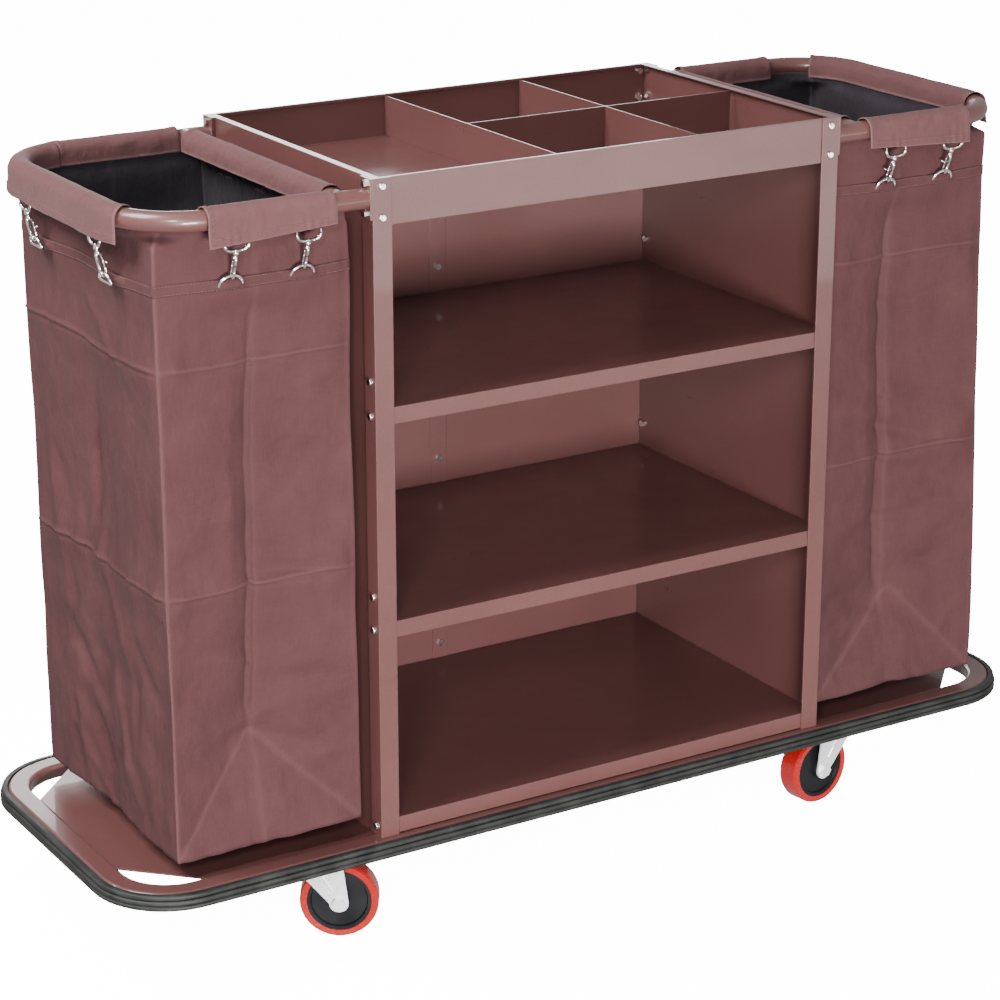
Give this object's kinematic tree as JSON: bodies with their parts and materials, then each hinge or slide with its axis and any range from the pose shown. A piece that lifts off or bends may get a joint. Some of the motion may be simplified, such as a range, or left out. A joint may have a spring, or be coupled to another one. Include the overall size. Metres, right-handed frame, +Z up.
{
  "type": "housekeeping cart",
  "caption": "Hotel housekeeping cart: open sheet-metal cabinet with shelves and a divided top tray, a fabric laundry bag in a tube frame at each end, bumper base, swivel casters.",
  "frame": {"origin": "on the floor under the middle of the cart", "axes": "+X along the cart towards its right-hand bag as seen from the open front, +Y to the closed back, +Z up"},
  "size_m": [1.411, 0.487, 0.992],
  "materials": {
    "paint": "semi-gloss powder coat, red brown",
    "fabric": "coated plain-weave polyester, mauve brown",
    "bumper": "matt dark grey extrusion",
    "tread": "glossy red polyurethane",
    "wheel_core": "moulded black polypropylene",
    "zinc": "bright zinc plate",
    "nickel": "bright nickel plate"
  },
  "bodies": {
    "root": {"back_panel_left": "paint", "back_panel_right": "paint", "bag_frame_bolts": "nickel", "bag_frame_left": "paint", "bag_frame_right": "paint", "base_cross_members": "paint", "base_deck": "paint", "base_rim": "paint", "bottom_shelf": "paint", "bumper": "bumper", "caster_plate_front_left": "zinc", "caster_plate_front_right": "zinc", "caster_plate_rear_left": "zinc", "caster_plate_rear_right": "zinc", "caster_studs": "zinc", "cross_tube_left": "paint", "cross_tube_right": "paint", "d_rings_left": "nickel", "d_rings_right": "nickel", "laundry_bag_left": "fabric", "laundry_bag_right": "fabric", "lower_shelf": "paint", "panel_screws": "nickel", "post_front_left": "paint", "post_front_right": "paint", "post_rear_left": "paint", "post_rear_right": "paint", "shelf_screws": "nickel", "side_panel_left": "paint", "side_panel_right": "paint", "snap_hooks_left": "nickel", "snap_hooks_right": "nickel", "top_tray": "paint", "tray_divider_left": "paint", "tray_divider_long": "paint", "tray_divider_right": "paint", "tray_screws": "nickel", "upper_shelf": "paint"},
    "caster_front_left": {"caster_fork_front_left": "zinc", "wheel_axle_front_left": "zinc"},
    "wheel_front_left": {"wheel_core_front_left": "wheel_core", "wheel_tread_front_left": "tread"},
    "caster_front_right": {"caster_fork_front_right": "zinc", "wheel_axle_front_right": "zinc"},
    "wheel_front_right": {"wheel_core_front_right": "wheel_core", "wheel_tread_front_right": "tread"},
    "caster_rear_left": {"caster_fork_rear_left": "zinc", "wheel_axle_rear_left": "zinc"},
    "wheel_rear_left": {"wheel_core_rear_left": "wheel_core", "wheel_tread_rear_left": "tread"},
    "caster_rear_right": {"caster_fork_rear_right": "zinc", "wheel_axle_rear_right": "zinc"},
    "wheel_rear_right": {"wheel_core_rear_right": "wheel_core", "wheel_tread_rear_right": "tread"}
  },
  "joints": [
    {"name": "swivel_front_left", "type": "hinge", "parent": "root", "child": "caster_front_left", "pos_m": [-0.405, -0.168, 0.111], "axis": [0, 0, 1], "continuous": true},
    {"name": "spin_front_left", "type": "hinge", "parent": "caster_front_left", "child": "wheel_front_left", "pos_m": [-0.38454, -0.18054, 0.051], "axis": [0.5225, 0.8526, 0], "continuous": true},
    {"name": "swivel_front_right", "type": "hinge", "parent": "root", "child": "caster_front_right", "pos_m": [0.405, -0.168, 0.111], "axis": [0, 0, 1], "continuous": true},
    {"name": "spin_front_right", "type": "hinge", "parent": "caster_front_right", "child": "wheel_front_right", "pos_m": [0.38126, -0.17155, 0.051], "axis": [0.1478, -0.989, 0], "continuous": true},
    {"name": "swivel_rear_left", "type": "hinge", "parent": "root", "child": "caster_rear_left", "pos_m": [-0.405, 0.168, 0.111], "axis": [0, 0, 1], "continuous": true},
    {"name": "spin_rear_left", "type": "hinge", "parent": "caster_rear_left", "child": "wheel_rear_left", "pos_m": [-0.38275, 0.17699, 0.051], "axis": [-0.3746, 0.9272, 0], "continuous": true},
    {"name": "swivel_rear_right", "type": "hinge", "parent": "root", "child": "caster_rear_right", "pos_m": [0.405, 0.168, 0.111], "axis": [0, 0, 1], "continuous": true},
    {"name": "spin_rear_right", "type": "hinge", "parent": "caster_rear_right", "child": "wheel_rear_right", "pos_m": [0.38275, 0.17699, 0.051], "axis": [-0.3746, -0.9272, 0], "continuous": true}
  ]
}
